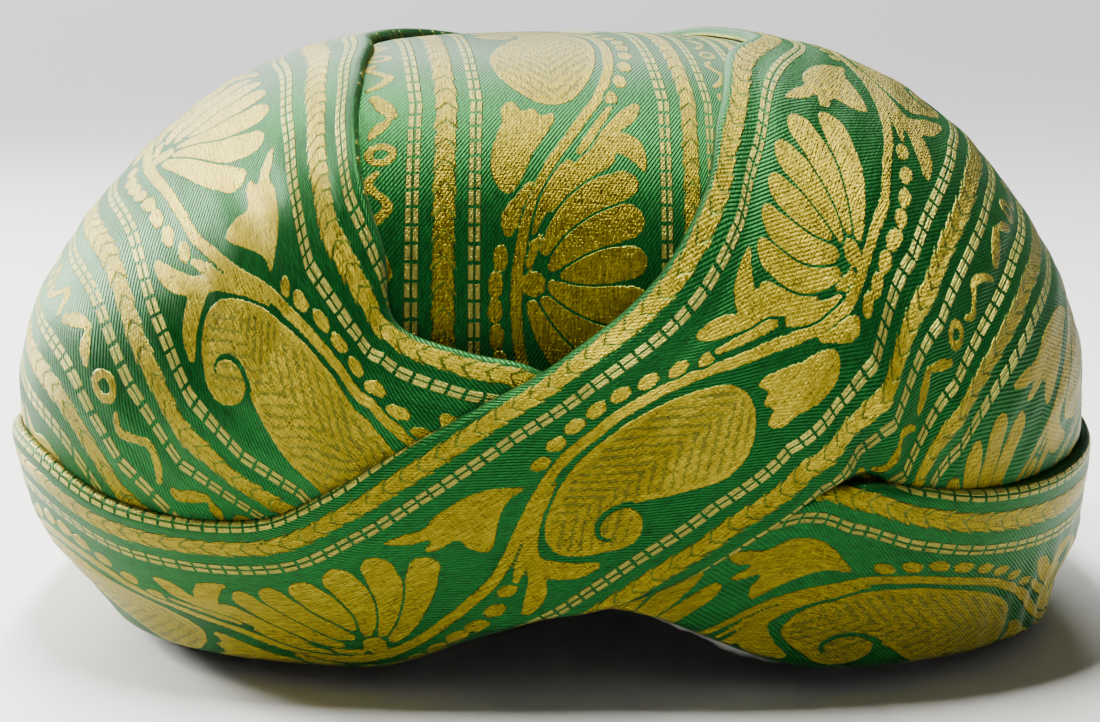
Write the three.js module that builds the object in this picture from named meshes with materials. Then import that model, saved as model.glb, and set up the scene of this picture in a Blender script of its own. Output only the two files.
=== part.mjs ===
import * as THREE from 'three';

// A ready-tied turban: brocade cloth wound in crossing wraps over a stiff white-lined cap.
// Millimetres, +Z up, the front towards -Y. It rests on its rim at z = 0.
// A place on the form is given by two numbers: turn, in degrees round from the front towards +X,
// and down, the share of the way from the top of the crown (0) to the rim (1).

// The outer form, up to the outside of the wraps that lie on the crown cloth
const HALF_WIDTH = 110;
const HALF_DEPTH_FRONT = 90;
const HALF_DEPTH_BACK = 120;
const PLAN_POWER_FRONT = 3;
const PLAN_POWER_BACK = 2.3;
const CROWN_HEIGHT = 121;
const CROWN_LEAN = 3;
const FORM_CENTRE_X = -0.4;
const FORM_CENTRE_Y = -16.2;
const CROWN_ROUNDNESS = 0.71;
const SIDES = {
  right: { widestHeight: 50, rimInset: 5, shoulderFlat: 0.052 },
  left: { widestHeight: 53, rimInset: 21, shoulderFlat: 0.079 },
  front: { widestHeight: 48, rimInset: 11, shoulderFlat: 0.06 },
  back: { widestHeight: 48, rimInset: 10, shoulderFlat: 0.06 },
};

// The middle section, which sets how far down the widest line lies
const SECTION_RADIUS = 105;
const SECTION_WIDEST = 50;
const SECTION_TUCK = 1;

// The rim: raised a little all along the brow, with an arch in the middle of the front
const BROW_LIFT = 4;
const BROW_LIFT_STARTS = 85;
const BROW_LIFT_FULL = 55;
const BROW_LIFT_CURVE = 1.5;
const ARCH_RISE = 0.086;
const ARCH_CENTRE = 5;
const ARCH_HALF_TURN = 31;

// Cloth walls: each wrap is folded cloth, and each layer lies a little clear of the one below
const WALL = 1.4;
const LAYER_GAP = 1.1;
const LAYER_STEP = WALL + LAYER_GAP;
const CAP_CLEARANCE = 0.3;
const DRAPE_REACH = 16;
const DRAPE_CLEAR = 5;

// The crown cloth sinks behind the point where the two wraps cross
const POCKET = { turn: -3, down: 0.64, halfTurn: 26, halfDown: 0.13, depth: 6 };

// The lining edge that shows below the cloth in the arch, as a share of the way down
const LINING_SHOWS = 0.007;
const CROWN_CLOTH_END = 0.965;
const CROWN_CLOTH_ABOVE_RIM = 0.02;

// The low band passes from under the front sweep to over it round this turn
const CROSSING_FROM = 30;
const CROSSING_TO = 34.5;

const RIM = 'rim';

// The left wrap: from the back, over the crown, down the left side and under the front sweep.
// inner is the edge on the V side, outer the edge on the side of the head.
const LEFT_WRAP = [
  { innerTurn: -184, innerDown: 0.84, outerTurn: -106, outerDown: 0.86 },
  { innerTurn: -184, innerDown: 0.62, outerTurn: -100, outerDown: 0.86 },
  { innerTurn: -181, innerDown: 0.43, outerTurn: -94, outerDown: 0.86 },
  { innerTurn: -168, innerDown: 0.28, outerTurn: -86, outerDown: 0.86 },
  { innerTurn: -138, innerDown: 0.2, outerTurn: -77, outerDown: 0.86 },
  { innerTurn: -104, innerDown: 0.186, outerTurn: -69, outerDown: 0.86 },
  { innerTurn: -72, innerDown: 0.2, outerTurn: -61, outerDown: 0.87 },
  { innerTurn: -54, innerDown: 0.227, outerTurn: -54, outerDown: 0.88 },
  { innerTurn: -41.5, innerDown: 0.3, outerTurn: -47, outerDown: 0.88 },
  { innerTurn: -34, innerDown: 0.38, outerTurn: -41, outerDown: 0.88 },
  { innerTurn: -28, innerDown: 0.46, outerTurn: -35, outerDown: 0.87 },
  { innerTurn: -22, innerDown: 0.54, outerTurn: -29, outerDown: 0.85 },
  { innerTurn: -18.8, innerDown: 0.61, outerTurn: -22, outerDown: 0.82 },
  { innerTurn: -10.4, innerDown: 0.637, outerTurn: -13, outerDown: 0.79 },
  { innerTurn: -3.2, innerDown: 0.649, outerTurn: -5, outerDown: 0.755 },
  { innerTurn: 3, innerDown: 0.675, outerTurn: 3, outerDown: 0.72 },
];

// The front sweep: from the back, over the right of the crown, across the front as a band down to
// the lower left, and round the left side low to the back.
const FRONT_SWEEP = [
  { innerTurn: 184, innerDown: 0.84, outerTurn: 106, outerDown: 0.86 },
  { innerTurn: 184, innerDown: 0.62, outerTurn: 98, outerDown: 0.86 },
  { innerTurn: 181, innerDown: 0.43, outerTurn: 90, outerDown: 0.86 },
  { innerTurn: 168, innerDown: 0.28, outerTurn: 81, outerDown: 0.86 },
  { innerTurn: 138, innerDown: 0.19, outerTurn: 71, outerDown: 0.86 },
  { innerTurn: 105, innerDown: 0.17, outerTurn: 61, outerDown: 0.86 },
  { innerTurn: 65, innerDown: 0.2, outerTurn: 52, outerDown: 0.85 },
  { innerTurn: 41, innerDown: 0.25, outerTurn: 44, outerDown: 0.83 },
  { innerTurn: 27.5, innerDown: 0.366, outerTurn: 38.5, outerDown: 0.797 },
  { innerTurn: 21, innerDown: 0.468, outerTurn: 34, outerDown: 0.765 },
  { innerTurn: 12.5, innerDown: 0.566, outerTurn: 29.5, outerDown: 0.777 },
  { innerTurn: 0.8, innerDown: 0.646, outerTurn: 22.9, outerDown: 0.828 },
  { innerTurn: -8.2, innerDown: 0.688, outerTurn: 13.5, outerDown: 0.883 },
  { innerTurn: -16.8, innerDown: 0.731, outerTurn: 3, outerDown: 0.915 },
  { innerTurn: -24.2, innerDown: 0.776, outerTurn: -10, outerDown: RIM },
  { innerTurn: -32.7, innerDown: 0.815, outerTurn: -25, outerDown: RIM },
  { innerTurn: -46.8, innerDown: 0.814, outerTurn: -43, outerDown: RIM },
  { innerTurn: -62.7, innerDown: 0.774, outerTurn: -62, outerDown: RIM },
  { innerTurn: -90, innerDown: 0.785, outerTurn: -90, outerDown: RIM },
  { innerTurn: -120, innerDown: 0.77, outerTurn: -120, outerDown: RIM },
  { innerTurn: -148, innerDown: 0.755, outerTurn: -148, outerDown: RIM },
  { innerTurn: -172, innerDown: 0.74, outerTurn: -172, outerDown: RIM },
];

// The low band: from the back, lapped over the end of the front sweep, round the right side low,
// and under the front sweep's lower edge in front.
const LOW_BAND = [
  { innerTurn: 203, innerDown: 0.72, outerTurn: 203, outerDown: RIM },
  { innerTurn: 180, innerDown: 0.72, outerTurn: 180, outerDown: RIM },
  { innerTurn: 150, innerDown: 0.725, outerTurn: 150, outerDown: RIM },
  { innerTurn: 120, innerDown: 0.74, outerTurn: 120, outerDown: RIM },
  { innerTurn: 95, innerDown: 0.76, outerTurn: 95, outerDown: RIM },
  { innerTurn: 78, innerDown: 0.773, outerTurn: 78, outerDown: RIM },
  { innerTurn: 65.5, innerDown: 0.78, outerTurn: 65.5, outerDown: RIM },
  { innerTurn: 55, innerDown: 0.79, outerTurn: 56, outerDown: RIM },
  { innerTurn: 46, innerDown: 0.79, outerTurn: 48, outerDown: RIM },
  { innerTurn: 38.8, innerDown: 0.779, outerTurn: 40, outerDown: RIM },
  { innerTurn: 33, innerDown: 0.769, outerTurn: 32, outerDown: RIM },
  { innerTurn: 28, innerDown: 0.785, outerTurn: 24, outerDown: RIM },
  { innerTurn: 19, innerDown: 0.83, outerTurn: 16, outerDown: RIM },
  { innerTurn: 8, innerDown: 0.865, outerTurn: 7, outerDown: RIM },
  { innerTurn: -1, innerDown: 0.885, outerTurn: -2, outerDown: RIM },
];
const LOW_BAND_FRONT_ROWS = 5;

// How finely each piece is faceted
const FACETS = {
  cap: { around: 34, down: 13 },
  crown: { around: 42, down: 16 },
  leftWrap: { perRow: 3, across: 10 },
  frontSweep: { perRow: 3, across: 10 },
  lowBand: { perRow: 4, across: 7 },
};

const COLOURS = {
  brocade: { color: '#3d7a3c', roughness: 0.42, metalness: 0.25 },
  brocadeShade: { color: '#6f7d33', roughness: 0.42, metalness: 0.25 },
  brocadeDeep: { color: '#2a6b44', roughness: 0.42, metalness: 0.25 },
  lining: { color: '#e4e2da', roughness: 0.85, metalness: 0 },
};

// A smooth step from 0 at start to 1 at end
function ease(value, start, end) {
  const share = THREE.MathUtils.clamp((value - start) / (end - start), 0, 1);
  return share * share * (3 - 2 * share);
}

// The middle section's angle at a share of the way down, spaced evenly along the cloth
const SECTION_STEPS = 400;
const lowerLength = SECTION_WIDEST + SECTION_TUCK;
const sectionLengths = [0];
const sectionAngles = [Math.PI / 2];

function sectionPoint(angle) {
  const fullness = 1 - SIDES.front.shoulderFlat * Math.sin(2 * angle) ** 2;
  const reach = SECTION_RADIUS * Math.max(Math.cos(angle), 0) ** CROWN_ROUNDNESS * fullness;
  return new THREE.Vector2(reach, SECTION_WIDEST + (CROWN_HEIGHT - SECTION_WIDEST) * Math.sin(angle));
}

let lastPoint = new THREE.Vector2(0, CROWN_HEIGHT);
for (let step = 1; step <= SECTION_STEPS; step++) {
  const angle = (Math.PI / 2) * (1 - step / SECTION_STEPS);
  const point = sectionPoint(angle);
  sectionLengths.push(sectionLengths[step - 1] + point.distanceTo(lastPoint));
  sectionAngles.push(angle);
  lastPoint = point;
}
const upperLength = sectionLengths[SECTION_STEPS];
const UPPER_SHARE = upperLength / (upperLength + lowerLength);

function angleAt(down) {
  const length = (down / UPPER_SHARE) * upperLength;
  if (length >= upperLength) return 0;
  let index = 1;
  while (sectionLengths[index] < length) index++;
  const span = sectionLengths[index] - sectionLengths[index - 1];
  const share = (length - sectionLengths[index - 1]) / span;
  return THREE.MathUtils.lerp(sectionAngles[index - 1], sectionAngles[index], share);
}

// A size that differs from side to side, at one direction round the turban
function sideSize(sine, cosine, key) {
  const right = Math.max(sine, 0) ** 2;
  const left = Math.max(-sine, 0) ** 2;
  const front = Math.max(cosine, 0) ** 2;
  const back = Math.max(-cosine, 0) ** 2;
  const { right: r, left: l, front: f, back: b } = SIDES;
  return right * r[key] + left * l[key] + front * f[key] + back * b[key];
}

// The outer form at a place
function formPoint(turn, down) {
  const angle = THREE.MathUtils.degToRad(turn);
  const sine = Math.sin(angle);
  const cosine = Math.cos(angle);
  const halfDepth = cosine > 0 ? HALF_DEPTH_FRONT : HALF_DEPTH_BACK;
  const power = cosine > 0 ? PLAN_POWER_FRONT : PLAN_POWER_BACK;
  const wide = Math.abs(sine / HALF_WIDTH) ** power;
  const deep = Math.abs(cosine / halfDepth) ** power;
  const plan = (wide + deep) ** (-1 / power);
  const widest = sideSize(sine, cosine, 'widestHeight');
  let reach;
  let height;
  if (down < UPPER_SHARE) {
    const rise = angleAt(down);
    const flat = sideSize(sine, cosine, 'shoulderFlat');
    const curve = Math.max(Math.cos(rise), 0) ** CROWN_ROUNDNESS;
    reach = plan * curve * (1 - flat * Math.sin(2 * rise) ** 2);
    height = widest + (CROWN_HEIGHT - widest) * Math.sin(rise);
  } else {
    const share = (down - UPPER_SHARE) / (1 - UPPER_SHARE);
    const fromFront = Math.abs(THREE.MathUtils.radToDeg(Math.atan2(sine, cosine)));
    const lift = BROW_LIFT * ease(fromFront, BROW_LIFT_STARTS, BROW_LIFT_FULL);
    reach = plan - sideSize(sine, cosine, 'rimInset') * share ** 2;
    height = widest * (1 - share) + lift * share ** BROW_LIFT_CURVE;
  }
  const lean = CROWN_LEAN * THREE.MathUtils.clamp(height / CROWN_HEIGHT, 0, 1) ** 2;
  const x = FORM_CENTRE_X + reach * sine + lean;
  return new THREE.Vector3(x, FORM_CENTRE_Y - reach * cosine, height);
}

// The outward direction at a place, which turns level at the rim so that the rim stays flat
const NEAR = 0.002;
const NEAR_TURN = 0.5;
const RIM_LEVELS_FROM = 0.88;

function formNormal(turn, down) {
  if (down < 3 * NEAR) return new THREE.Vector3(0, 0, 1);
  const middle = Math.min(down, 1 - NEAR);
  const along = formPoint(turn + NEAR_TURN, middle).sub(formPoint(turn - NEAR_TURN, middle));
  const below = formPoint(turn, middle + NEAR).sub(formPoint(turn, middle - NEAR));
  const normal = new THREE.Vector3().crossVectors(below, along).normalize();
  normal.z *= 1 - ease(down, RIM_LEVELS_FROM, 1);
  return normal.normalize();
}

function rimDown(turn) {
  const away = Math.min(Math.abs(turn - ARCH_CENTRE) / ARCH_HALF_TURN, 1);
  return 1 - ARCH_RISE * Math.cos((Math.PI / 2) * away) ** 2;
}

function pocketDepth(turn, down) {
  const aside = (turn - POCKET.turn) / POCKET.halfTurn;
  const above = (down - POCKET.down) / POCKET.halfDown;
  return POCKET.depth * Math.exp(-aside * aside - above * above);
}

// A point at a place, out from the form
function placed(turn, down, out) {
  return formPoint(turn, down).addScaledVector(formNormal(turn, down), out);
}

// How far out a layer's outside lies: layer 2 is the form itself
function layerOut(layer) {
  return (layer - 2) * LAYER_STEP;
}

// A smooth value between table rows
function between(rows, key, position) {
  const index = Math.min(Math.floor(position), rows.length - 2);
  const share = position - index;
  const value = (row) => rows[THREE.MathUtils.clamp(row, 0, rows.length - 1)][key];
  const [a, b, c, d] = [value(index - 1), value(index), value(index + 1), value(index + 2)];
  if (b === RIM || c === RIM) return RIM;
  const start = a === RIM ? b : a;
  const end = d === RIM ? c : d;
  const slopeIn = (c - start) / 2;
  const slopeOut = (end - b) / 2;
  const s2 = share * share;
  const s3 = s2 * share;
  return (2 * s3 - 3 * s2 + 1) * b + (s3 - 2 * s2 + share) * slopeIn
    + (3 * s2 - 2 * s3) * c + (s3 - s2) * slopeOut;
}

// The places of a wrap: a row of places for each step along it, from its inner to its outer edge
function wrapPlaces(rows, perRow, across) {
  const places = [];
  const steps = (rows.length - 1) * perRow;
  for (let step = 0; step <= steps; step++) {
    const position = step / perRow;
    const innerTurn = between(rows, 'innerTurn', position);
    const innerDown = between(rows, 'innerDown', position);
    const outerTurn = between(rows, 'outerTurn', position);
    let outerDown = between(rows, 'outerDown', position);
    if (outerDown === RIM) outerDown = rimDown(outerTurn);
    const row = [];
    for (let column = 0; column <= across; column++) {
      const share = column / across;
      const turn = THREE.MathUtils.lerp(innerTurn, outerTurn, share);
      const down = THREE.MathUtils.lerp(innerDown, outerDown, share);
      row.push({ turn, down });
    }
    places.push(row);
  }
  return places;
}

// The outline of a wrap, once round its four sides
function outlineOf(places) {
  const first = places[0];
  const last = places[places.length - 1];
  const far = places.map((row) => row[row.length - 1]);
  const near = places.map((row) => row[0]);
  const back = [...last].reverse().slice(1);
  return [...first, ...far.slice(1), ...back, ...near.reverse().slice(1, -1)];
}

const MAP_SCALE = 100;

function onMap(place) {
  const angle = THREE.MathUtils.degToRad(place.turn);
  return new THREE.Vector2(Math.sin(angle), -Math.cos(angle)).multiplyScalar(place.down * MAP_SCALE);
}

// 1 where a wrap lies below a place, easing to 0 a drape's reach outside its outline
function coveredBy(outline, place) {
  const spot = onMap(place);
  const point = formPoint(place.turn, place.down);
  let inside = false;
  let nearest = Infinity;
  for (let i = 0, j = outline.length - 1; i < outline.length; j = i++) {
    const a = outline[i];
    const b = outline[j];
    const crosses = a.map.y > spot.y !== b.map.y > spot.y;
    if (crosses) {
      const x = ((b.map.x - a.map.x) * (spot.y - a.map.y)) / (b.map.y - a.map.y) + a.map.x;
      if (spot.x < x) inside = !inside;
    }
    const edge = new THREE.Line3(a.point, b.point);
    const foot = edge.closestPointToPoint(point, true, new THREE.Vector3());
    nearest = Math.min(nearest, foot.distanceTo(point));
  }
  return inside ? 1 : ease(nearest, DRAPE_REACH, DRAPE_CLEAR);
}

function measured(outline) {
  return outline.map((place) => ({ map: onMap(place), point: formPoint(place.turn, place.down) }));
}

// A closed wall over a sheet of places, with the outside at out and the inside a wall below it
function wallGeometry(rows, outOf, closedRound) {
  const positions = [];
  const indices = [];
  const width = rows[0].length;
  const height = rows.length;
  for (const inset of [0, WALL]) {
    for (const row of rows) {
      for (const place of row) {
        const point = placed(place.turn, place.down, outOf(place) - inset);
        positions.push(point.x, point.y, point.z);
      }
    }
  }
  const at = (side, row, column) => side * width * height + row * width + (column % width);
  const quad = (a, b, c, d) => indices.push(a, b, c, a, c, d);
  const columns = closedRound ? width : width - 1;
  for (let row = 0; row < height - 1; row++) {
    for (let column = 0; column < columns; column++) {
      const next = column + 1;
      quad(at(0, row, column), at(0, row, next), at(0, row + 1, next), at(0, row + 1, column));
      quad(at(1, row, column), at(1, row + 1, column), at(1, row + 1, next), at(1, row, next));
    }
  }
  for (let column = 0; column < columns; column++) {
    const next = column + 1;
    if (!closedRound) quad(at(0, 0, column), at(1, 0, column), at(1, 0, next), at(0, 0, next));
    const last = height - 1;
    quad(at(0, last, next), at(1, last, next), at(1, last, column), at(0, last, column));
  }
  if (closedRound) {
    for (const side of [0, 1]) {
      const centre = positions.length / 3;
      const point = placed(0, 0, outOf({ turn: 0, down: 0 }) - side * WALL);
      positions.push(point.x, point.y, point.z);
      for (let column = 0; column < columns; column++) {
        const pair = [at(side, 0, column), at(side, 0, column + 1)];
        indices.push(centre, ...(side === 0 ? pair.reverse() : pair));
      }
    }
  } else {
    for (let row = 0; row < height - 1; row++) {
      const edge = width - 1;
      quad(at(0, row, 0), at(0, row + 1, 0), at(1, row + 1, 0), at(1, row, 0));
      quad(at(0, row, edge), at(1, row, edge), at(1, row + 1, edge), at(0, row + 1, edge));
    }
  }
  return facingOut(positions, indices);
}

// The geometry with its faces pointing out, whichever way round its places ran
function facingOut(positions, indices) {
  const corner = (index) => new THREE.Vector3().fromArray(positions, 3 * index);
  let volume = 0;
  for (let i = 0; i < indices.length; i += 3) {
    const [a, b, c] = [corner(indices[i]), corner(indices[i + 1]), corner(indices[i + 2])];
    volume += a.dot(b.cross(c));
  }
  if (volume < 0) indices.reverse();
  const geometry = new THREE.BufferGeometry();
  geometry.setAttribute('position', new THREE.Float32BufferAttribute(positions, 3));
  geometry.setIndex(indices);
  geometry.computeVertexNormals();
  return geometry;
}

// Rings of places from near the top down to an edge that changes round the turban
function domePlaces({ around, down }, edgeDown) {
  const rows = [];
  for (let ring = 1; ring <= down; ring++) {
    const row = [];
    for (let step = 0; step < around; step++) {
      const turn = -180 + (360 * step) / around;
      row.push({ turn, down: (edgeDown(turn) * ring) / down });
    }
    rows.push(row);
  }
  return rows;
}

const group = new THREE.Group();

function addPiece(name, look, geometry) {
  const mesh = new THREE.Mesh(geometry, new THREE.MeshStandardMaterial(COLOURS[look]));
  mesh.name = name;
  group.add(mesh);
}

// The stiff cap with its white lining, open below for the head
const capOut = (place) => layerOut(0) - CAP_CLEARANCE - pocketDepth(place.turn, place.down);
const capEdge = (turn) => Math.min(rimDown(turn) + LINING_SHOWS, 1);
addPiece('inner_cap', 'lining', wallGeometry(domePlaces(FACETS.cap, capEdge), capOut, true));

// The crown cloth, drawn over the whole cap and ending just above the rim
const crownOut = (place) => layerOut(1) - pocketDepth(place.turn, place.down);
const crownEdge = (turn) => Math.min(CROWN_CLOTH_END, rimDown(turn) - CROWN_CLOTH_ABOVE_RIM);
const crownWall = wallGeometry(domePlaces(FACETS.crown, crownEdge), crownOut, true);
addPiece('crown_wrap', 'brocadeDeep', crownWall);

// The wraps, each over what it crosses
const leftPlaces = wrapPlaces(LEFT_WRAP, FACETS.leftWrap.perRow, FACETS.leftWrap.across);
const sweepPlaces = wrapPlaces(FRONT_SWEEP, FACETS.frontSweep.perRow, FACETS.frontSweep.across);
const bandPlaces = wrapPlaces(LOW_BAND, FACETS.lowBand.perRow, FACETS.lowBand.across);
const bandFront = bandPlaces.slice(-(LOW_BAND_FRONT_ROWS * FACETS.lowBand.perRow + 1));
const leftOutline = measured(outlineOf(leftPlaces));
const sweepOutline = measured(outlineOf(sweepPlaces));
const bandFrontOutline = measured(outlineOf(bandFront));

function sweepLayer(place) {
  const overBand = coveredBy(bandFrontOutline, place) * ease(place.turn, CROSSING_TO, CROSSING_FROM);
  return 2 + Math.max(coveredBy(leftOutline, place), overBand);
}

function bandLayer(place) {
  const overSweep = coveredBy(sweepOutline, place) * ease(place.turn, CROSSING_FROM, CROSSING_TO);
  return 2 + overSweep * (sweepLayer(place) - 1);
}

const leftOut = () => layerOut(2);
const sweepOut = (place) => layerOut(sweepLayer(place));
const bandOut = (place) => layerOut(bandLayer(place));
addPiece('left_wrap', 'brocade', wallGeometry(leftPlaces, leftOut, false));
addPiece('front_sweep', 'brocadeShade', wallGeometry(sweepPlaces, sweepOut, false));
addPiece('low_band', 'brocade', wallGeometry(bandPlaces, bandOut, false));

export default group;
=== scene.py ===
import bpy
import numpy as np
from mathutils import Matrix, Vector


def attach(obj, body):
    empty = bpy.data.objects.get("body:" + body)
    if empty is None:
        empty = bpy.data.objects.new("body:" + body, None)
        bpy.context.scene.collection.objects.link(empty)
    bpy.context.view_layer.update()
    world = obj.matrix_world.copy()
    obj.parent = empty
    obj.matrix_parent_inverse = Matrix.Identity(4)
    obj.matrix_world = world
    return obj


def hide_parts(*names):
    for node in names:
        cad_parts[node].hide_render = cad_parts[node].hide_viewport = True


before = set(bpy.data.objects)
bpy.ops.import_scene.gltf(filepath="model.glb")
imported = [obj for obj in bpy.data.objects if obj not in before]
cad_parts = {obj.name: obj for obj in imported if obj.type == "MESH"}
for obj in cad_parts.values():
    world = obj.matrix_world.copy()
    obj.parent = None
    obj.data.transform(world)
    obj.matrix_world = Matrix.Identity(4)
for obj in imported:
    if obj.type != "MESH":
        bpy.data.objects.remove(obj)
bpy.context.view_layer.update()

# The room: a plain pale floor in soft daylight from behind on the left, with a window lamp on the left
# and a long lamp overhead that draw the sparkle across the gold, and a weak fill in front.
# The camera looks straight at the front, from ten degrees above.
PHOTO_WIDTH = 1100
FOCAL_PIXELS = 2193
SENSOR_WIDTH = 36.0
CAMERA_TARGET = Vector((-0.00015, -0.0162, 0.0495))
CAMERA_DISTANCE = 0.48
CAMERA_RISE = np.radians(10)
NEAREST_SEEN = 0.01

camera_data = bpy.data.cameras.new("camera")
camera_data.sensor_width = SENSOR_WIDTH
camera_data.lens = FOCAL_PIXELS / PHOTO_WIDTH * SENSOR_WIDTH
camera_data.clip_start = NEAREST_SEEN
camera = bpy.data.objects.new("camera", camera_data)
looking = Vector((0, np.cos(CAMERA_RISE), -np.sin(CAMERA_RISE)))
camera.location = CAMERA_TARGET - looking * CAMERA_DISTANCE
camera.rotation_euler = looking.to_track_quat("-Z", "Y").to_euler()
bpy.context.scene.collection.objects.link(camera)
bpy.context.scene.camera = camera


def soft_lamp(name, place, aim, width, height, power, colour):
    data = bpy.data.lights.new(name, "AREA")
    data.shape = "RECTANGLE"
    data.size = width
    data.size_y = height
    data.energy = power
    data.color = colour
    lamp = bpy.data.objects.new(name, data)
    lamp.location = place
    lamp.rotation_euler = (Vector(aim) - Vector(place)).to_track_quat("-Z", "Y").to_euler()
    bpy.context.scene.collection.objects.link(lamp)


TURBAN_MIDDLE = (0, 0, 0.05)
WINDOW_LIGHT, LAMP_LIGHT, FILL_LIGHT = (1.0, 0.99, 0.95), (1.0, 0.98, 0.92), (1.0, 0.98, 0.95)
soft_lamp("left window", (-0.95, 0.5, 0.42), TURBAN_MIDDLE, 0.12, 0.36, 31, WINDOW_LIGHT)
soft_lamp("overhead lamp", (-0.1, 0.02, 0.9), TURBAN_MIDDLE, 0.5, 0.05, 19, LAMP_LIGHT)
soft_lamp("front fill", (0.3, -0.95, 0.45), TURBAN_MIDDLE, 0.9, 0.6, 0.3, FILL_LIGHT)

DAYLIGHT_FROM, DAYLIGHT_POWER, DAYLIGHT_SPREAD = Vector((-0.4, 0.75, 0.7)), 6.0, np.radians(60)
daylight_data = bpy.data.lights.new("daylight", "SUN")
daylight_data.energy = DAYLIGHT_POWER
daylight_data.angle = DAYLIGHT_SPREAD
daylight = bpy.data.objects.new("daylight", daylight_data)
daylight.rotation_euler = (-DAYLIGHT_FROM).to_track_quat("-Z", "Y").to_euler()
bpy.context.scene.collection.objects.link(daylight)

# the room lights the turban a little, and is white where the camera sees it
ROOM_LIGHT, ROOM_WALL, ROOM_WHITE = 0.08, 2.6, (1.0, 0.995, 0.985, 1)
world = bpy.data.worlds.new("pale room")
world.use_nodes = True
room = world.node_tree
room.nodes["Background"].inputs["Color"].default_value = ROOM_WHITE
seen_or_lit = room.nodes.new("ShaderNodeMapRange")
seen_or_lit.inputs[3].default_value = ROOM_LIGHT
seen_or_lit.inputs[4].default_value = ROOM_WALL
room.links.new(room.nodes.new("ShaderNodeLightPath").outputs["Is Camera Ray"], seen_or_lit.inputs[0])
room.links.new(seen_or_lit.outputs[0], room.nodes["Background"].inputs["Strength"])
bpy.context.scene.world = world


class Socket:
    """A node's output, which adds its maths as nodes"""

    def __init__(self, material, output):
        self.material = material
        self.output = output

    def maths(self, operation, *values):
        return self.material.node("ShaderNodeMath", {"operation": operation}, *values)

    def __add__(self, other):
        return self.maths("ADD", self, other)

    def __sub__(self, other):
        return self.maths("SUBTRACT", self, other)

    def __mul__(self, other):
        return self.maths("MULTIPLY", self, other)

    def __truediv__(self, other):
        return self.maths("DIVIDE", self, other)

    def __radd__(self, other):
        return self.maths("ADD", other, self)

    def __rsub__(self, other):
        return self.maths("SUBTRACT", other, self)

    def __rmul__(self, other):
        return self.maths("MULTIPLY", other, self)

    def __abs__(self):
        return self.maths("ABSOLUTE", self)

    def above(self, limit, soft):
        """0 below the limit and 1 above it, over a soft edge"""
        return self.material.node("ShaderNodeMapRange", {"interpolation_type": "SMOOTHSTEP"}, self,
                                  limit - soft, limit + soft, 0.0, 1.0)

    def spread(self, low, high):
        """Stretched so that low becomes 0 and high becomes 1"""
        return self.material.node("ShaderNodeMapRange", {}, self, low, high, 0.0, 1.0)

    def other(self, number):
        """Another output of the same node"""
        return Socket(self.material, self.output.node.outputs[number])

    def whole(self):
        return self.maths("FLOOR", self)

    def part(self):
        return self.maths("FRACT", self)

    def most(self, other):
        return self.maths("MAXIMUM", self, other)


class Finish:
    """A material under construction"""

    def __init__(self, name):
        self.material = bpy.data.materials.new(name)
        self.material.use_nodes = True
        self.tree = self.material.node_tree
        self.surface = self.tree.nodes["Principled BSDF"]

    def node(self, kind, settings, *values, output=0, **named):
        node = self.tree.nodes.new(kind)
        for key, value in settings.items():
            setattr(node, key, value)
        for index, value in enumerate(values):
            self.feed(node.inputs[index], value)
        for key, value in named.items():
            self.feed(node.inputs[key.replace("_", " ")], value)
        return Socket(self, node.outputs[output])

    def feed(self, socket, value):
        if isinstance(value, Socket):
            self.tree.links.new(value.output, socket)
        elif value is not None:
            socket.default_value = value

    def mix(self, share, first, second):
        node = self.tree.nodes.new("ShaderNodeMix")
        node.data_type = "RGBA"
        self.feed(node.inputs[0], share)
        self.feed(node.inputs[6], first)
        self.feed(node.inputs[7], second)
        return Socket(self, node.outputs[2])

    def set(self, **named):
        for key, value in named.items():
            self.feed(self.surface.inputs[key.replace("_", " ")], value)

    def raise_surface(self, height, strength, distance):
        self.set(Normal=self.node(
            "ShaderNodeBump", {}, Strength=strength, Distance=distance, Height=height))


FLOOR_HALF = 30.0
FLOOR_DROP = 0.0004
FLOOR_GRAIN = 180.0
FLOOR_DARK, FLOOR_PALE = (0.84, 0.84, 0.84, 1), (0.90, 0.90, 0.895, 1)
floor_finish = Finish("pale floor")
floor_place = floor_finish.node("ShaderNodeTexCoord", {}, output=3)
grain = floor_finish.node("ShaderNodeTexNoise", {}, Vector=floor_place, Scale=FLOOR_GRAIN, Detail=3.0)
floor_finish.set(Base_Color=floor_finish.mix(grain, FLOOR_DARK, FLOOR_PALE), Roughness=0.7)
floor_mesh = bpy.data.meshes.new("floor")
floor_mesh.from_pydata(
    [(x * FLOOR_HALF, y * FLOOR_HALF, -FLOOR_DROP)
     for x, y in ((-1, -1), (1, -1), (1, 1), (-1, 1))],
    [], [(0, 1, 2, 3)])
floor_mesh.materials.append(floor_finish.material)
floor = bpy.data.objects.new("floor", floor_mesh)
bpy.context.scene.collection.objects.link(floor)

# The stiff cap: buckram pressed to the shape of a head and lined with white cotton. Every wrap is
# laid on it. It is open below for the head, and its lining shows under the arch in front.
# A place on it is a turn in degrees from the front and a share of the way down from crown to rim.
HALF_WIDTH = 110.0
HALF_DEPTH_FRONT = 90.0
HALF_DEPTH_BACK = 120.0
PLAN_POWER_FRONT = 3.0
PLAN_POWER_BACK = 2.3
CROWN_HEIGHT = 121.0
CROWN_LEAN = 3.0
FORM_CENTRE = (-0.4, -16.2)
CROWN_ROUNDNESS = 0.71
WIDEST_HEIGHT = {"right": 50.0, "left": 53.0, "front": 48.0, "back": 48.0}
RIM_INSET = {"right": 5.0, "left": 21.0, "front": 11.0, "back": 10.0}
SHOULDER_FLAT = {"right": 0.052, "left": 0.079, "front": 0.06, "back": 0.06}
BROW_LIFT, BROW_SPAN = 4.0, (85, 55)
ARCH_RISE = 0.086
ARCH_CENTRE = 5.0
ARCH_HALF_TURN = 31.0
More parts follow.
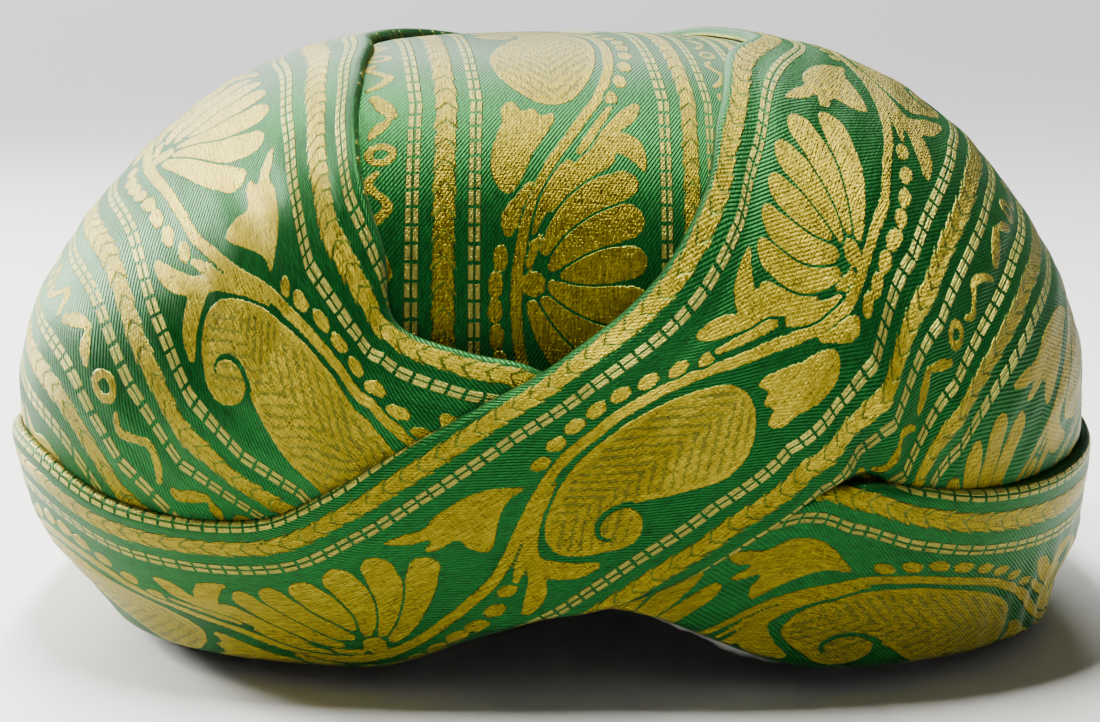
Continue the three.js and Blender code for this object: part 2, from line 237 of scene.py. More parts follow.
# the profile that spaces the places from crown to rim
PROFILE_REACH, PROFILE_WIDEST, PROFILE_BELOW, PROFILE_FLAT = 105.0, 50.0, 51.0, 0.06
FORM_LENGTH = 190.0
LEVEL_SPAN = (0.88, 1)


def ease(value, start, end):
    share = np.clip((value - start) / (end - start), 0, 1)
    return share * share * (3 - 2 * share)


section_angle = np.linspace(np.pi / 2, 0, 401)
section_reach = (PROFILE_REACH * np.cos(section_angle) ** CROWN_ROUNDNESS
                 * (1 - PROFILE_FLAT * np.sin(2 * section_angle) ** 2))
section_height = PROFILE_WIDEST + (CROWN_HEIGHT - PROFILE_WIDEST) * np.sin(section_angle)
section_steps = np.hypot(np.diff(section_reach), np.diff(section_height))
section_length = np.concatenate([[0], np.cumsum(section_steps)])
upper_share = section_length[-1] / (section_length[-1] + PROFILE_BELOW)
section_down = section_length / section_length[-1] * upper_share


def side_size(sine, cosine, sizes):
    """A size that changes smoothly round the form, from its values at the four sides"""
    return (sizes["right"] * np.clip(sine, 0, None) ** 2 + sizes["left"] * np.clip(-sine, 0, None) ** 2
            + sizes["front"] * np.clip(cosine, 0, None) ** 2
            + sizes["back"] * np.clip(-cosine, 0, None) ** 2)


def form_point(turn, down):
    """Where a place on the form is, in millimetres"""
    angle = np.radians(turn)
    sine, cosine = np.sin(angle), np.cos(angle)
    half_depth = np.where(cosine > 0, HALF_DEPTH_FRONT, HALF_DEPTH_BACK)
    power = np.where(cosine > 0, PLAN_POWER_FRONT, PLAN_POWER_BACK)
    plan = (np.abs(sine / HALF_WIDTH) ** power + np.abs(cosine / half_depth) ** power) ** (-1 / power)
    widest = side_size(sine, cosine, WIDEST_HEIGHT)
    rise = np.interp(down, section_down, section_angle)
    below = np.clip((down - upper_share) / (1 - upper_share), 0, None)
    flat = side_size(sine, cosine, SHOULDER_FLAT)
    reach_up = (plan * np.clip(np.cos(rise), 0, 1) ** CROWN_ROUNDNESS
                * (1 - flat * np.sin(2 * rise) ** 2))
    height_up = widest + (CROWN_HEIGHT - widest) * np.sin(rise)
    from_front = np.abs(np.degrees(np.arctan2(sine, cosine)))
    lift = BROW_LIFT * ease(from_front, *BROW_SPAN)
    reach_down = plan - side_size(sine, cosine, RIM_INSET) * below ** 2
    reach = np.where(down < upper_share, reach_up, reach_down)
    height = np.where(down < upper_share, height_up, widest * (1 - below) + lift * below ** 1.5)
    lean = CROWN_LEAN * np.clip(height / CROWN_HEIGHT, 0, 1) ** 2
    return np.stack(
        [FORM_CENTRE[0] + reach * sine + lean, FORM_CENTRE[1] - reach * cosine, height], -1)


def form_normal(turn, down):
    """The way out of the form at a place, level at the rim"""
    middle = np.clip(down, 0.006, 0.998)
    along = form_point(turn + 0.5, middle) - form_point(turn - 0.5, middle)
    below = form_point(turn, middle + 0.002) - form_point(turn, middle - 0.002)
    normal = np.cross(below, along)
    normal /= np.linalg.norm(normal, axis=-1, keepdims=True)
    normal[..., 2] *= 1 - ease(down, *LEVEL_SPAN)
    return normal / np.linalg.norm(normal, axis=-1, keepdims=True)


def rim_down(turn):
    """How far down the rim is, with its arch in front"""
    away = np.minimum(np.abs(turn - ARCH_CENTRE) / ARCH_HALF_TURN, 1)
    return 1 - ARCH_RISE * np.cos(np.pi / 2 * away) ** 2


LAYER_STEP = 2.5
WALL = 1.4
CAP_CLEARANCE = 0.3
MILLIMETRE = 0.001
FULLNESS, FULLNESS_SPAN = 2.1, (0.72, 0.4)
LINING_SHOWS, LINING_SHOWS_MORE = 0.006, 0.009
LINING_FROM, LINING_TO = (0, 9), (33, 24)
LINING_WAVE, LINING_RIPPLE = 0.0012, 0.0009
POCKET_TURN, POCKET_DOWN = -3.0, 0.64
POCKET_HALF_TURN, POCKET_HALF_DOWN, POCKET_DEPTH = 26.0, 0.13, 6.0


def layer_out(layer):
    """How far out of the form a layer's outside is: 0 is the cap, 1 the crown cloth, 2 and up wraps"""
    return (layer - 2) * LAYER_STEP


def fullness(turn, down):
    """How much the wound cloth fills the shoulders of the form"""
    return FULLNESS * ease(down, *FULLNESS_SPAN)


def pocket_depth(turn, down):
    """How far the cap and the crown cloth are pressed in where the wraps cross"""
    aside = (turn - POCKET_TURN) / POCKET_HALF_TURN
    above = (down - POCKET_DOWN) / POCKET_HALF_DOWN
    return POCKET_DEPTH * np.exp(-aside ** 2 - above ** 2)


def dome_places(xs, ys, edge_down):
    """A square grid laid on the dome from the crown out to an edge, with no pole and no seam"""
    x, y = np.meshgrid(xs, ys)
    far = np.maximum(np.abs(x), np.abs(y))
    wide = np.abs(x) > np.abs(y)
    quarter = np.where(wide, y / np.where(wide, x, 1), x / np.where(wide | (y == 0), 1, y)) * 45
    turn = np.where(wide, np.where(x > 0, 90 + quarter, -90 + quarter),
                    np.where(y < 0, -quarter, 180 - quarter))
    turn = (turn + 180) % 360 - 180
    return turn, far * edge_down(turn)


def rolled(distance, radius):
    """How far a folded edge has rounded down, as a share, at a distance in from the fold"""
    inside = np.clip(1 - distance / radius, 0, 1)
    return 1 - np.sqrt(np.clip(1 - inside ** 2, 0, 1))


def shell(outside, inside, step):
    """A closed wall: the outside is a grid, and the inside takes every step-th place of another"""
    rows, columns = outside.shape[:2]
    number = np.arange(rows * columns).reshape(rows, columns)
    corners = (number[:-1, :-1], number[:-1, 1:], number[1:, 1:], number[1:, :-1])
    outer_faces = np.stack(corners, -1).reshape(-1, 4).tolist()
    coarse = number[::step, ::step]
    edge = np.ones(coarse.shape, bool)
    edge[1:-1, 1:-1] = False
    inner = coarse.copy()
    inner[~edge] = rows * columns + np.arange((~edge).sum())
    points = np.vstack([outside.reshape(-1, 3), inside[::step, ::step][~edge]])
    from_place = np.concatenate([number.ravel(), coarse[~edge]])
    inner_faces = []
    last_row, last_column = coarse.shape[0] - 2, coarse.shape[1] - 2
    for i in range(last_row + 1):
        for j in range(last_column + 1):
            top = number[0, j * step + 1:(j + 1) * step] if i == 0 else []
            right = number[i * step + 1:(i + 1) * step, -1] if j == last_column else []
            bottom = number[-1, j * step + 1:(j + 1) * step] if i == last_row else []
            left = number[i * step + 1:(i + 1) * step, 0] if j == 0 else []
            loop = [inner[i, j], *top, inner[i, j + 1], *right, inner[i + 1, j + 1],
                    *bottom[::-1], inner[i + 1, j], *left[::-1]]
            inner_faces.append([int(n) for n in loop[::-1]])
    return points, outer_faces, inner_faces, from_place


def faces_out(points, outer_faces, middle):
    """Whether the outer faces point away from a middle point"""
    corner = points[np.array(outer_faces[:: max(1, len(outer_faces) // 2000)])]
    normal = np.cross(corner[:, 2] - corner[:, 0], corner[:, 3] - corner[:, 1])
    return np.einsum("ij,ij->", normal, corner.mean(1) - middle) > 0


FORM_MIDDLE = np.array([0, -16.0, 40.0])
CLOTH_MAP_SCALE = 0.01
BAKE_MARGIN, BAKE_OUTER, BAKE_INNER = 0.01, 0.9, 0.07


def wall_piece(name, node, outside, inside, step, cloth=None, figure=None):
    """A cloth wall as an object, with its maps, in place of a CAD node"""
    points, outer_faces, inner_faces, from_place = shell(outside, inside, step)
    faces = outer_faces + inner_faces
    if not faces_out(points, outer_faces, FORM_MIDDLE):
        faces = [face[::-1] for face in faces]
    mesh = bpy.data.meshes.new(name)
    mesh.from_pydata((points * MILLIMETRE).tolist(), [], faces)
    mesh.polygons.foreach_set("use_smooth", [True] * len(outer_faces) + [False] * len(inner_faces))
    place = from_place[np.fromiter((n for face in faces for n in face), int)]
    rows, columns = outside.shape[:2]
    share_down, share_across = place // columns / (rows - 1), place % columns / (columns - 1)
    outer = np.arange(len(place)) < 4 * len(outer_faces)
    low = np.where(outer, 1 - BAKE_OUTER - BAKE_MARGIN, BAKE_MARGIN)
    tall = np.where(outer, BAKE_OUTER, BAKE_INNER)
    bake_across = BAKE_MARGIN + (1 - 2 * BAKE_MARGIN) * share_across
    maps = {"OFBake": np.stack([bake_across, low + tall * share_down], -1)}
    if cloth is not None:
        maps["Cloth"] = cloth.reshape(-1, 2)[place] * CLOTH_MAP_SCALE
        attribute = mesh.attributes.new("Figure", "FLOAT_VECTOR", "POINT")
        values = figure.reshape(-1, 3)[from_place].astype(np.float32)
        attribute.data.foreach_set("vector", values.ravel())
    for key, values in maps.items():
        mesh.uv_layers.new(name=key).data.foreach_set("uv", values.astype(np.float32).ravel())
    piece = bpy.data.objects.new(name, mesh)
    bpy.context.scene.collection.objects.link(piece)
    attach(piece, "root")
    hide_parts(node)
    return piece


def cap_edge(turn):
    """Just below the rim, and a little lower under the right of the arch, where the lining shows"""
    shows = LINING_SHOWS + LINING_SHOWS_MORE * ease(turn, *LINING_FROM) * ease(turn, *LINING_TO)
    uneven = LINING_WAVE * np.sin(turn * 0.9) + LINING_RIPPLE * np.sin(turn * 2.3 + 1)
    return np.minimum(rim_down(turn) + shows + uneven, 1)


CAP_PLACES = 121
COTTON_CRUMPLE, COTTON_THREAD = 60.0, 1800.0
THREAD_RAISED = 0.0006
COTTON_SHADE, COTTON_WHITE = (0.62, 0.61, 0.57, 1), (0.84, 0.83, 0.79, 1)
cap_line = np.linspace(-1, 1, CAP_PLACES)
cap_turn, cap_down = dome_places(cap_line, cap_line, cap_edge)
cap_out = layer_out(0) - CAP_CLEARANCE - pocket_depth(cap_turn, cap_down) + fullness(cap_turn, cap_down)
cap_normal = form_normal(cap_turn, cap_down)
cap_roll = rolled((cap_edge(cap_turn) - cap_down) * FORM_LENGTH, WALL)
cap_form = form_point(cap_turn, cap_down)
lined_cap = wall_piece(
    "lined_cap", "inner_cap", cap_form + cap_normal * (cap_out - WALL * cap_roll)[..., None],
    cap_form + cap_normal * (cap_out - WALL)[..., None], 1)

cotton = Finish("white cotton lining")
thread = cotton.node("ShaderNodeTexCoord", {}, output=3)
cotton_crumple = cotton.node("ShaderNodeTexNoise", {}, thread, None, COTTON_CRUMPLE, 4.0)
cotton_weave = cotton.node("ShaderNodeTexNoise", {}, thread, None, COTTON_THREAD, 2.0)
cotton.set(
    Base_Color=cotton.mix(cotton_crumple, COTTON_SHADE, COTTON_WHITE),
    Roughness=0.78 + 0.15 * cotton_weave, Sheen_Weight=0.2)
cotton.raise_surface(cotton_weave * 0.4 + cotton_crumple, 0.5, THREAD_RAISED)
lined_cap.data.materials.append(cotton.material)

# The crown cloth: green satin brocade with figures woven in gold thread, drawn over the whole cap.
# Pairs of dashed lines run each side of a line of wheat ears, and between them lie a wide border of
# lotus, paisley, leaves and beads on a winding stem, and a narrow vine.
REPEAT = 120.0
FIELD_MIDDLE = 20.2
CLOTH_PERIOD = 59.4
COLUMN_START = -6.1
LOTUS_BASE, LOTUS_HEART = (0.0, 26.2), 2.0
FIELD_LOW, FIELD_HIGH = 5.5, 35.0
SPRAY_START, SPRAY_END = -45.0, 130.0
STEM_HALF_WIDTH = 0.9
FAR_OUT = -9.0

PETALS = [
    [(-17.8, -10.3, 2.5), (-12.4, -5.4, 2.5), (-7.4, -1.8, 1.9), (-3.6, 0.1, 1.0)],
    [(-11.2, -14.2, 3.0), (-9.2, -9.2, 3.0), (-6.1, -4.9, 2.2), (-2.9, -2.0, 1.0)],
    [(-3.6, -15.6, 3.0), (-3.4, -10.9, 3.0), (-2.2, -6.4, 2.1), (-0.3, -3.0, 0.9)],
    [(3.3, -15.6, 2.6), (2.7, -11.4, 2.9), (2.0, -8.4, 2.3), (1.4, -5.2, 0.9)],
    [(10.0, -14.8, 3.0), (8.8, -10.8, 3.0), (6.2, -6.4, 2.3), (2.9, -3.2, 0.9)],
    [(16.4, -14.4, 2.5), (14.4, -9.9, 2.8), (11.0, -5.5, 2.3), (5.6, -1.9, 0.9)],
    [(21.6, -11.0, 2.3), (19.2, -7.0, 2.5), (14.4, -2.9, 2.1), (8.0, -0.2, 0.8)],
]
STEM = [
    (-20, 26.0), (-12, 28.2), (-6, 28.9), (0, 28.9), (6.5, 28.1), (12.8, 26.5), (20.5, 23.4), (25.2, 20.6),
    (31.2, 17.4), (36, 15.0), (42, 13.0), (48, 11.9), (56, 11.5), (64, 12.0), (69.4, 13.3), (74.6, 15.3),
    (79.4, 17.5), (85.1, 20.4), (90.9, 23.1), (95.7, 25.0), (100, 26.0),
]
SIDE_STRANDS = [
    [(3.0, 26.9, 0.6), (9.5, 25.0, 0.8), (14.5, 22.7, 0.8), (18.5, 20.6, 0.8), (22.3, 18.6, 0.9),
     (27.2, 16.2, 0.8), (33.0, 13.4, 0.5)],
    [(71.0, 15.4, 0.3), (77.0, 18.2, 0.7), (82.6, 21.6, 1.2), (85.6, 25.0, 1.7), (84.6, 28.0, 1.9),
     (81.0, 30.9, 1.7), (77.2, 32.3, 0.7)],
    [(85.6, 25.0, 1.5), (87.6, 28.2, 1.6), (91.0, 31.0, 1.7), (94.6, 32.8, 0.8)],
    [(84.4, 22.2, 0.5), (88.0, 24.4, 0.9), (91.6, 26.6, 0.5)],
    [(8.6, 30.2, 0.9), (10.8, 29.9, 1.5), (13.4, 28.7, 1.0), (16.4, 26.8, 0.6)],
]
BEADS = [
    (34.9, 13.4), (39.9, 11.2), (45.2, 9.6), (50.5, 8.7), (55.5, 8.4), (60.4, 8.5), (65.4, 9.4),
    (70.4, 11.0), (94.2, 27.5), (98.6, 29.7), (103.1, 31.0), (107.3, 31.6), (111.5, 32.1), (115.7, 32.4),
    (119.9, 32.3), (124.2, 31.5),
]
BEAD_SIZE = (2.1, 1.15)
PAISLEY = [
    (33.0, 23.0), (34.6, 19.6), (38.3, 17.2), (43.0, 15.3), (47.8, 14.2), (53.6, 13.6), (59.3, 13.5),
    (64.1, 14.1), (69.4, 15.8), (74.6, 18.3), (78.9, 21.2), (81.0, 24.0), (80.9, 26.8), (78.6, 29.0),
    (75.4, 30.6), (71.4, 32.4), (68.0, 32.5), (65.4, 31.0), (64.0, 28.9), (64.4, 27.2), (64.0, 26.3),
    (62.0, 27.0), (59.5, 28.1), (56.2, 29.7), (52.6, 31.1), (48.8, 32.1), (44.8, 32.0), (40.6, 30.9),
    (36.8, 28.7), (34.0, 26.0),
]
PAISLEY_CURL = [
    (63.6, 26.4, 0.6), (67.0, 25.5, 0.5), (69.9, 25.9, 0.5), (72.1, 27.0, 0.55), (72.8, 28.6, 0.5),
    (71.9, 30.0, 0.35),
]
LARGE_LEAF = [
    (15.0, 30.4), (16.2, 28.9), (18.2, 27.8), (22.0, 26.5), (24.8, 25.0), (27.5, 23.7), (29.3, 22.9),
    (31.0, 23.2), (30.6, 25.2), (32.3, 26.4), (31.6, 28.2), (34.0, 29.8), (32.6, 31.6), (29.3, 31.4),
    (26.5, 32.2), (23.4, 32.9), (19.6, 33.2), (16.6, 32.2),
]
SMALL_FLAME = [
    (18.6, 8.2), (21.5, 7.9), (24.5, 8.7), (26.2, 10.6), (27.0, 12.0), (28.8, 10.0), (31.2, 8.9),
    (33.6, 9.2), (31.8, 11.8), (28.8, 13.8), (26.6, 15.4), (24.0, 16.7), (21.6, 18.2), (22.9, 15.2),
    (22.1, 11.9), (20.3, 9.7),
]
TALL_FLAME = [
    (76.0, 12.9), (79.5, 10.6), (82.9, 9.2), (87.4, 8.5), (92.8, 8.5), (96.4, 9.4), (100.2, 8.4),
    (104.2, 7.8), (100.9, 10.4), (97.2, 11.8), (99.6, 13.0), (98.0, 14.2), (93.6, 14.4), (93.4, 17.0),
    (91.4, 19.6), (88.2, 18.2), (85.2, 16.0), (82.2, 14.2), (79.3, 13.2),
]
VINE_MIDDLE, VINE_HALF_WIDTH = 49.9, 3.4
VINE_REPEAT = 30.0
VINE = [
    [(1.2, -1.6, 0.7), (3.6, -0.4, 1.25), (6.4, 0.9, 0.9)],
    [(9.0, 1.9, 0.45), (10.6, -0.2, 0.7), (13.0, -1.5, 0.7), (15.0, 0.0, 0.6), (17.2, 1.5, 0.7),
     (19.0, 0.2, 0.45)],
    [(26.6, 1.4, 0.5), (28.6, 0.2, 0.95), (30.2, -1.0, 0.5)],
]
VINE_RING = (22.8, -0.2, 1.7, 0.62)


def smooth_outline(points, closed, fineness=5):
    """A smooth line through the points"""
    pts = np.array(points, float)
    n = len(pts)
    share = np.arange(fineness)[:, None] / fineness
    out = []
    for i in range(n if closed else n - 1):
        at = (lambda k: pts[k % n]) if closed else (lambda k: pts[min(max(k, 0), n - 1)])
        a, b, c, d = at(i - 1), at(i), at(i + 1), at(i + 2)
        out.append(0.5 * (2 * b + (c - a) * share + (2 * a - 5 * b + 4 * c - d) * share ** 2
                          + (3 * b - a - 3 * c + d) * share ** 3))
    if not closed:
        out.append(pts[-1:])
    return np.vstack(out)


def stroke(u, v, points):
    """How far inside a strand a place is, where each point of the strand has its half width"""
    pts = smooth_outline(points, False, 3)
    best = np.full(u.shape, np.inf)
    for (ax, ay, ar), (bx, by, br) in zip(pts[:-1], pts[1:]):
        dx, dy = bx - ax, by - ay
        t = np.clip(((u - ax) * dx + (v - ay) * dy) / (dx * dx + dy * dy), 0, 1)
        best = np.minimum(best, np.hypot(u - ax - t * dx, v - ay - t * dy) - (ar + (br - ar) * t))
    return -best


def blade(u, v, points):
    """How far inside a closed outline a place is"""
    pts = smooth_outline(points, True)
    best = np.full(u.shape, np.inf)
    inside = np.zeros(u.shape, bool)
    for (ax, ay), (bx, by) in zip(pts, np.roll(pts, -1, axis=0)):
        dx, dy = bx - ax, by - ay
        t = np.clip(((u - ax) * dx + (v - ay) * dy) / (dx * dx + dy * dy + 1e-9), 0, 1)
        best = np.minimum(best, np.hypot(u - ax - t * dx, v - ay - t * dy))
        crosses = (ay > v) != (by > v)
        inside ^= crosses & (u < dx * (v - ay) / (dy if dy else 1e-9) + ax)
    return np.where(inside, best, -best)


def draw_cloth(u, v):
    """Signed distances inside the woven figures: (first figures, second figures, hatch room)"""
    v = v - CLOTH_PERIOD * np.floor((v - COLUMN_START) / CLOTH_PERIOD)
    first, second, hatch = (np.full(u.shape, FAR_OUT) for _ in range(3))
    in_field = np.nonzero((v > FIELD_LOW) & (v < FIELD_HIGH))
    fu, fv = u[in_field], v[in_field]
    one, two, three = (np.full(fu.shape, FAR_OUT) for _ in range(3))
    for shift in (-REPEAT, 0, REPEAT):
        x = fu - REPEAT * np.floor(fu / REPEAT) + shift
        near = (x > SPRAY_START) & (x < SPRAY_END)
        if not near.any():
            continue
        x, y = x[near], fv[near]
        a, b = one[near], two[near]
        for i, petal in enumerate(PETALS):
            d = stroke(x - LOTUS_BASE[0], y - LOTUS_BASE[1], petal)
            if i % 2 == 0:
                a = np.maximum(a, d)
            else:
                b = np.maximum(b, d)
        b = np.maximum(b, LOTUS_HEART - np.hypot(x - LOTUS_BASE[0], y - LOTUS_BASE[1]))
        b = np.maximum(b, stroke(x, y, [(p[0], p[1], STEM_HALF_WIDTH) for p in STEM]))
        for s in SIDE_STRANDS:
            b = np.maximum(b, stroke(x, y, s))
        for cu, cv in BEADS:
            d = 1 - np.hypot((x - cu) / BEAD_SIZE[0], (y - cv) / BEAD_SIZE[1])
            a = np.maximum(a, d * BEAD_SIZE[1])
        body = blade(x, y, PAISLEY)
        curl = stroke(x, y, PAISLEY_CURL)
        a = np.maximum(a, np.minimum(body, -curl))
        three[near] = np.maximum(three[near], body)
        a = np.maximum(a, blade(x, y, LARGE_LEAF))
        a = np.maximum(a, blade(x, y, SMALL_FLAME))
        b = np.maximum(b, blade(x, y, TALL_FLAME))
        one[near], two[near] = a, b
    first[in_field], second[in_field], hatch[in_field] = one, two, three
    in_vine = np.nonzero(np.abs(v - VINE_MIDDLE) < VINE_HALF_WIDTH)
    wu = u[in_vine] - VINE_REPEAT * np.floor(u[in_vine] / VINE_REPEAT)
    wv = v[in_vine] - VINE_MIDDLE
    d = np.full(wu.shape, FAR_OUT)
    for shift in (-VINE_REPEAT, 0, VINE_REPEAT):
        for s in VINE:
            d = np.maximum(d, stroke(wu + shift, wv, s))
    ring = np.hypot(wu - VINE_RING[0], wv - VINE_RING[1])
    d = np.maximum(d, VINE_RING[3] - np.abs(ring - VINE_RING[2]))
    first[in_vine] = d
    return first, second, hatch


GROUP_SPACING = 4.7
DASH_HALF_WIDTH, DASH_PART, DASH_PITCH, DASH_GAP = 0.95, 0.16, 3.1, 0.2
EAR_HALF_WIDTH, EAR_PITCH, EAR_SLANT, EAR_GAP, EAR_TAPER = 1.85, 4.2, 1.1, 0.13, 0.45
OUTLINE = 0.44
HATCH_PITCH, HATCH_SLANT, HATCH_WIDTH, HATCH_IN, HATCH_MIDDLE = 3.0, 1.4, 0.3, 1.1, 22.5
THREAD_STEP_ALONG, THREAD_STEP_ACROSS, THREAD_JITTER = 0.45, 0.5, 0.22
TWILL_PITCH, TWILL_SLANT = 1.05, 1.6
STREAK_ALONG, STREAK_ACROSS = 0.3, 3.4
RIB_ALONG, RIB_ACROSS, RIB_START = 3.0, 0.5, 4.0
PATCH_ALONG, PATCH_ACROSS = 0.05, 0.07
SATIN_DEEP, SATIN_BRIGHT = (0.003, 0.045, 0.006, 1), (0.014, 0.19, 0.03, 1)
SATIN_SHADE = (0.002, 0.026, 0.004, 1)
ZARI_DEEP, ZARI_BRIGHT = (0.065, 0.053, 0.004, 1), (0.56, 0.44, 0.018, 1)
ZARI_WORN = (0.20, 0.165, 0.011, 1)
DASH_THREAD, HATCH_THREAD = (0.36, 0.38, 0.09, 1), (0.07, 0.09, 0.012, 1)
SATIN_SHEEN = (0.5, 1.0, 0.6, 1)


def weave_brocade():
    silk = Finish("green and gold brocade")
    flat = silk.node("ShaderNodeUVMap", {"uv_map": "Cloth"})
    parts = silk.node("ShaderNodeSeparateXYZ", {}, flat)
    along = parts / CLOTH_MAP_SCALE
    across = parts.other(1) / CLOTH_MAP_SCALE
    shapes = silk.node("ShaderNodeAttribute", {"attribute_name": "Figure"}, output=1)
    first = silk.node("ShaderNodeSeparateXYZ", {}, shapes)
    second, paisley = first.other(1), first.other(2)

    column = across - CLOTH_PERIOD * ((across - COLUMN_START) / CLOTH_PERIOD).whole()
    from_ears = abs(abs(column - FIELD_MIDDLE) - FIELD_MIDDLE)
    from_dashes = abs(from_ears - GROUP_SPACING)

    cell = silk.node("ShaderNodeCombineXYZ", {}, (along / THREAD_STEP_ALONG).whole(),
                     (across / THREAD_STEP_ACROSS).whole(), 0.0)
    ragged = silk.node("ShaderNodeTexWhiteNoise", {"noise_dimensions": "2D"}, cell) - 0.5
    outlines = abs(first - second + ragged * 0.15).above(OUTLINE, 0.07)
    figures = (first.most(second) + ragged * THREAD_JITTER).above(0.0, 0.08) * outlines
    dashes = (from_dashes * -1.0).above(-DASH_HALF_WIDTH, 0.1) * from_dashes.above(DASH_PART, 0.08)
    dashes = dashes * ((along + ragged * 0.2) / DASH_PITCH).part().above(DASH_GAP, 0.02)
    grain = ((along + EAR_SLANT * from_ears + ragged * 0.5) / EAR_PITCH).part()
    ears = (from_ears * -1.0 - grain * EAR_TAPER + ragged * 0.35).above(-EAR_HALF_WIDTH, 0.12)
    ears = ears * (0.3 + 0.7 * grain.above(EAR_GAP, 0.05))
    gold = figures.most(dashes).most(ears)
    hatching = ((along - HATCH_SLANT * abs(column - HATCH_MIDDLE) + ragged * 1.1) / HATCH_PITCH).part()
    hatching = (1.0 - hatching.above(HATCH_WIDTH, 0.1)) * paisley.above(HATCH_IN, 0.15)

    long_threads = silk.node("ShaderNodeCombineXYZ", {}, along * STREAK_ALONG, across * STREAK_ACROSS, 0.0)
    streak = silk.node("ShaderNodeTexNoise", {}, long_threads, None, 1.0, 3.0, 0.6).spread(0.33, 0.67)
    cross_threads = silk.node(
        "ShaderNodeCombineXYZ", {}, along * RIB_ALONG, across * RIB_ACROSS, RIB_START)
    ribs = silk.node("ShaderNodeTexNoise", {}, cross_threads, None, 1.0, 2.0, 0.6).spread(0.35, 0.65)
    broad = silk.node("ShaderNodeCombineXYZ", {}, along * PATCH_ALONG, across * PATCH_ACROSS, 0.0)
    patches = silk.node("ShaderNodeTexNoise", {}, broad, None, 1.0, 2.0).spread(0.3, 0.7)
    twill = abs(((along + across * TWILL_SLANT) / TWILL_PITCH).part() - 0.5) * 2.0

    satin = silk.mix(streak * 0.6 + ribs * 0.2, SATIN_DEEP, SATIN_BRIGHT)
    satin = silk.mix(twill * 0.55, satin, SATIN_SHADE)
    zari = silk.mix(streak * 0.65 + ribs * 0.35, ZARI_DEEP, ZARI_BRIGHT)
    zari = silk.mix(patches * 0.5, zari, ZARI_WORN)
    zari = silk.mix(dashes * 0.5, zari, DASH_THREAD)
    zari = silk.mix(hatching * 0.72, zari, HATCH_THREAD)
    silk.set(
        Base_Color=silk.mix(gold, satin, zari),
        Metallic=0.6 + gold * (0.34 - 0.3 * hatching - 0.2 * dashes),
        Roughness=0.34 - 0.10 * gold + 0.12 * ribs * gold + 0.10 * streak,
        Specular_IOR_Level=0.15, Anisotropic=0.5,
        Sheen_Weight=0.04, Sheen_Roughness=0.45, Sheen_Tint=SATIN_SHEEN)
    height = gold * 0.6 + twill * 0.2 + (streak * 0.35 + ribs * 0.15) * gold
    silk.raise_surface(height + streak * 0.1 - hatching * 0.25, 0.7, THREAD_RAISED)
    return silk.material


brocade = weave_brocade()


def reached(value, places, values):
    """A value read between places, carried on straight past the first and the last"""
    places, values = np.asarray(places, float), np.asarray(values, float)
    result = np.interp(value, places, values)
    start = (values[1] - values[0]) / (places[1] - places[0])
    end = (values[-1] - values[-2]) / (places[-1] - places[-2])
    result = np.where(value < places[0], values[0] + (value - places[0]) * start, result)
    return np.where(value > places[-1], values[-1] + (value - places[-1]) * end, result)


CROWN_LOW, CROWN_ABOVE_RIM = 0.965, 0.02
CROWN_STRIPES_X = (-32.0, -25.5, -19.6, -14.0, 21.4, 26.3, 29.8)
CROWN_STRIPES = (49.9, 45.1, 40.4, 35.7, 4.7, 0.0, -4.7)
CROWN_DRIFT, CROWN_DRIFT_FROM, CROWN_DRIFT_OVER = 5.5, 52.0, 45.0
LOTUS_ALONG, CROWN_STRETCH = 90.0, 1.12
CROWN_AXIS_Y, CROWN_AXIS_Z = -20.0, 40.0
# the middle line of the crown cloth, from the back over the crown to the front
line_down = np.linspace(0, 0.95, 200)
line_out = layer_out(1) - pocket_depth(0.0, line_down)[:, None]
front_line = form_point(0.0, line_down) + form_normal(0.0, line_down) * line_out
back_line = form_point(180.0, line_down) + form_normal(180.0, line_down) * layer_out(1)
middle_line = np.vstack([back_line[:0:-1], front_line])
line_angle = np.arctan2(middle_line[:, 1] - CROWN_AXIS_Y, middle_line[:, 2] - CROWN_AXIS_Z)
line_steps = np.linalg.norm(np.diff(middle_line, axis=0), axis=1)
line_length = np.concatenate([[0], np.cumsum(line_steps)])
line_length -= np.interp(0, -line_angle, line_length)


def crown_pattern(points):
    """Where the crown cloth's pattern lies: its stripes run from the back over the crown"""
    angle = np.arctan2(points[..., 1] - CROWN_AXIS_Y, points[..., 2] - CROWN_AXIS_Z)
    length = np.interp(-angle, -line_angle, line_length)
    drift = CROWN_DRIFT * np.clip((CROWN_DRIFT_FROM - length) / CROWN_DRIFT_OVER, 0, 1.4)
    across = reached(points[..., 0] + drift, CROWN_STRIPES_X, CROWN_STRIPES)
    return np.stack([(LOTUS_ALONG - length) / CROWN_STRETCH, across], -1)


def crown_edge(turn):
    """Its lower edge, which the wraps cover"""
    return np.minimum(CROWN_LOW, rim_down(turn) - CROWN_ABOVE_RIM)


DENSE_MARGIN = 0.12


def dense_line(count, start, end, extra):
    """Places from -1 to 1, closer together by extra times between start and end"""
    fine = np.linspace(-1, 1, 2001)
    density = ease(fine, start - DENSE_MARGIN, start) * ease(fine, end + DENSE_MARGIN, end)
    density = 1 + (extra - 1) * density
    total = np.concatenate([[0], np.cumsum((density[1:] + density[:-1]) / 2)])
    return np.interp(np.linspace(0, total[-1], count), total, fine)


